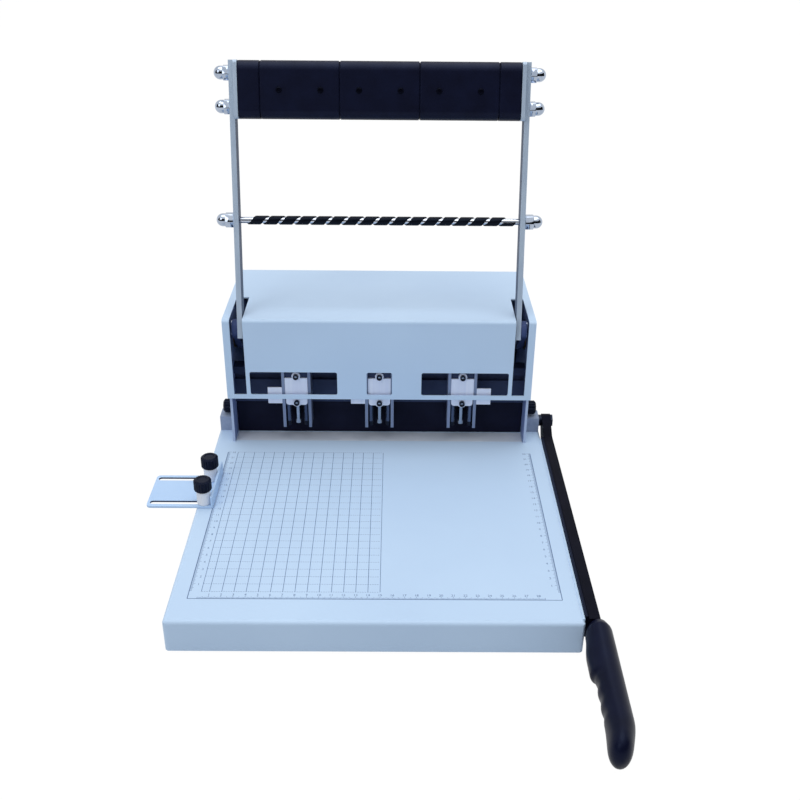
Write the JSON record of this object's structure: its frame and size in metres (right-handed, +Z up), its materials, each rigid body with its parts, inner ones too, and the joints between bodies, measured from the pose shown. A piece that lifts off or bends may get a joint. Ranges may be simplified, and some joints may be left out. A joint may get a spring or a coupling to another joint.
{
  "type": "adjustable hole punch",
  "caption": "Heavy desk hole punch: pull handle drives adjustable pins through paper on a flat base with side guide, paper stop and a side trimmer arm.",
  "frame": {"origin": "centre of the base's flat underside; the rubber feet reach 5 mm below it", "axes": "+Z up, +Y from the operator towards the punch head, +X to the operator's right, where the trimmer arm is"},
  "size_m": [0.4026, 0.5738, 0.4041],
  "materials": {
    "base_paint": "smooth pale enamel",
    "foot_rubber": "matt",
    "zinc": "zinc plated",
    "strip": "matt nylon",
    "blade_steel": "ground",
    "frame_paint": "satin grey",
    "dark_frame": "satin dark grey",
    "bronze": "sintered",
    "bright_steel": "polished",
    "black_screw": "black oxide",
    "arm_steel": "satin plated",
    "grip_plastic": "fine satin",
    "wrap_vinyl": "satin",
    "chrome_nut": "polished",
    "guide_paint": "satin pale grey",
    "sleeve_white": "smooth",
    "trim_paint": "satin black"
  },
  "bodies": {
    "base": {"base_tray": "base_paint", "base_bottom": "base_paint", "feet": "foot_rubber", "foot_screws": "zinc", "cutting_strip": "strip", "lower_blade": "blade_steel", "side_plate_left": "frame_paint", "side_plate_right": "frame_paint", "head_brackets": "frame_paint", "frame_screws": "zinc", "hood": "base_paint", "rear_beam": "dark_frame", "unit_rail": "dark_frame", "shaft_bushes": "bronze", "guide_posts": "bright_steel", "return_springs": "bright_steel", "punch_frame_middle": "dark_frame", "face_plate_middle": "zinc", "face_screws_middle": "black_screw", "guide_studs": "zinc", "guide_sleeves": "sleeve_white", "trim_pivot": "zinc"},
    "handle": {"drive_shaft": "bright_steel", "drive_cranks": "dark_frame", "crank_arm_left": "dark_frame", "crank_arm_right": "dark_frame", "crank_bolts": "zinc", "handle_arm_left": "arm_steel", "handle_arm_right": "arm_steel", "grip_plates": "arm_steel", "grip_caps": "grip_plastic", "grip_left": "grip_plastic", "grip_middle": "grip_plastic", "grip_right": "grip_plastic", "grip_screws": "black_screw", "grip_rods": "bright_steel", "spacer_rod": "bright_steel", "rod_wrap": "wrap_vinyl", "cap_nuts": "chrome_nut"},
    "press": {"pressure_bar": "dark_frame"},
    "unit_left": {"punch_frame_left": "dark_frame", "face_plate_left": "zinc", "face_screws_left": "black_screw"},
    "unit_right": {"punch_frame_right": "dark_frame", "face_plate_right": "zinc", "face_screws_right": "black_screw"},
    "pin_left": {"punch_pin_left": "bright_steel"},
    "pin_middle": {"punch_pin_middle": "bright_steel"},
    "pin_right": {"punch_pin_right": "bright_steel"},
    "paper_stop": {"paper_stop": "dark_frame"},
    "stop_knob_left": {"stop_knob_left": "grip_plastic"},
    "stop_knob_right": {"stop_knob_right": "grip_plastic"},
    "side_guide": {"side_guide": "guide_paint"},
    "guide_cap_front": {"guide_cap_front": "grip_plastic"},
    "guide_cap_rear": {"guide_cap_rear": "grip_plastic"},
    "trimmer": {"trim_bar": "trim_paint", "trim_blade": "blade_steel", "trim_screws": "zinc", "trim_grip": "grip_plastic"}
  },
  "joints": [
    {"name": "handle_swing", "type": "hinge", "parent": "base", "child": "handle", "pos_m": [0, 0.0977, 0.1307], "axis": [1, 0, 0], "range_deg": [0, 60]},
    {"name": "press_stroke", "type": "slide", "parent": "base", "child": "press", "axis": [0, 0, -1], "range_m": [0, 0.017], "deforming": ["return_springs"]},
    {"name": "unit_left_shift", "type": "slide", "parent": "base", "child": "unit_left", "axis": [1, 0, 0], "range_m": [-0.026, 0.026]},
    {"name": "unit_right_shift", "type": "slide", "parent": "base", "child": "unit_right", "axis": [1, 0, 0], "range_m": [-0.026, 0.026]},
    {"name": "pin_left_stroke", "type": "slide", "parent": "unit_left", "child": "pin_left", "axis": [0, 0, -1], "range_m": [0, 0.017]},
    {"name": "pin_middle_stroke", "type": "slide", "parent": "base", "child": "pin_middle", "axis": [0, 0, -1], "range_m": [0, 0.017]},
    {"name": "pin_right_stroke", "type": "slide", "parent": "unit_right", "child": "pin_right", "axis": [0, 0, -1], "range_m": [0, 0.017]},
    {"name": "paper_stop_shift", "type": "slide", "parent": "base", "child": "paper_stop", "axis": [0, 1, 0], "range_m": [0, 0.012]},
    {"name": "stop_knob_left_turn", "type": "hinge", "parent": "paper_stop", "child": "stop_knob_left", "pos_m": [-0.157, 0.086, 0.0545], "axis": [1, 0, 0], "continuous": true},
    {"name": "stop_knob_right_turn", "type": "hinge", "parent": "paper_stop", "child": "stop_knob_right", "pos_m": [0.157, 0.086, 0.0545], "axis": [1, 0, 0], "continuous": true},
    {"name": "side_guide_shift", "type": "slide", "parent": "base", "child": "side_guide", "axis": [1, 0, 0], "range_m": [0, 0.045]},
    {"name": "guide_cap_front_turn", "type": "hinge", "parent": "base", "child": "guide_cap_front", "pos_m": [-0.161, -0.0613, 0.05], "axis": [0, 0, 1], "continuous": true},
    {"name": "guide_cap_rear_turn", "type": "hinge", "parent": "base", "child": "guide_cap_rear", "pos_m": [-0.161, -0.0213, 0.05], "axis": [0, 0, 1], "continuous": true},
    {"name": "trimmer_swing", "type": "hinge", "parent": "base", "child": "trimmer", "pos_m": [0, 0.086, 0.039], "axis": [-1, 0, 0], "range_deg": [0, 75]}
  ],
  "couplings": [
    {"joint": "press_stroke", "follows": "handle_swing", "m_per_rad": 0.016233},
    {"joint": "pin_left_stroke", "follows": "handle_swing", "m_per_rad": 0.016233},
    {"joint": "pin_middle_stroke", "follows": "handle_swing", "m_per_rad": 0.016233},
    {"joint": "pin_right_stroke", "follows": "handle_swing", "m_per_rad": 0.016233}
  ]
}
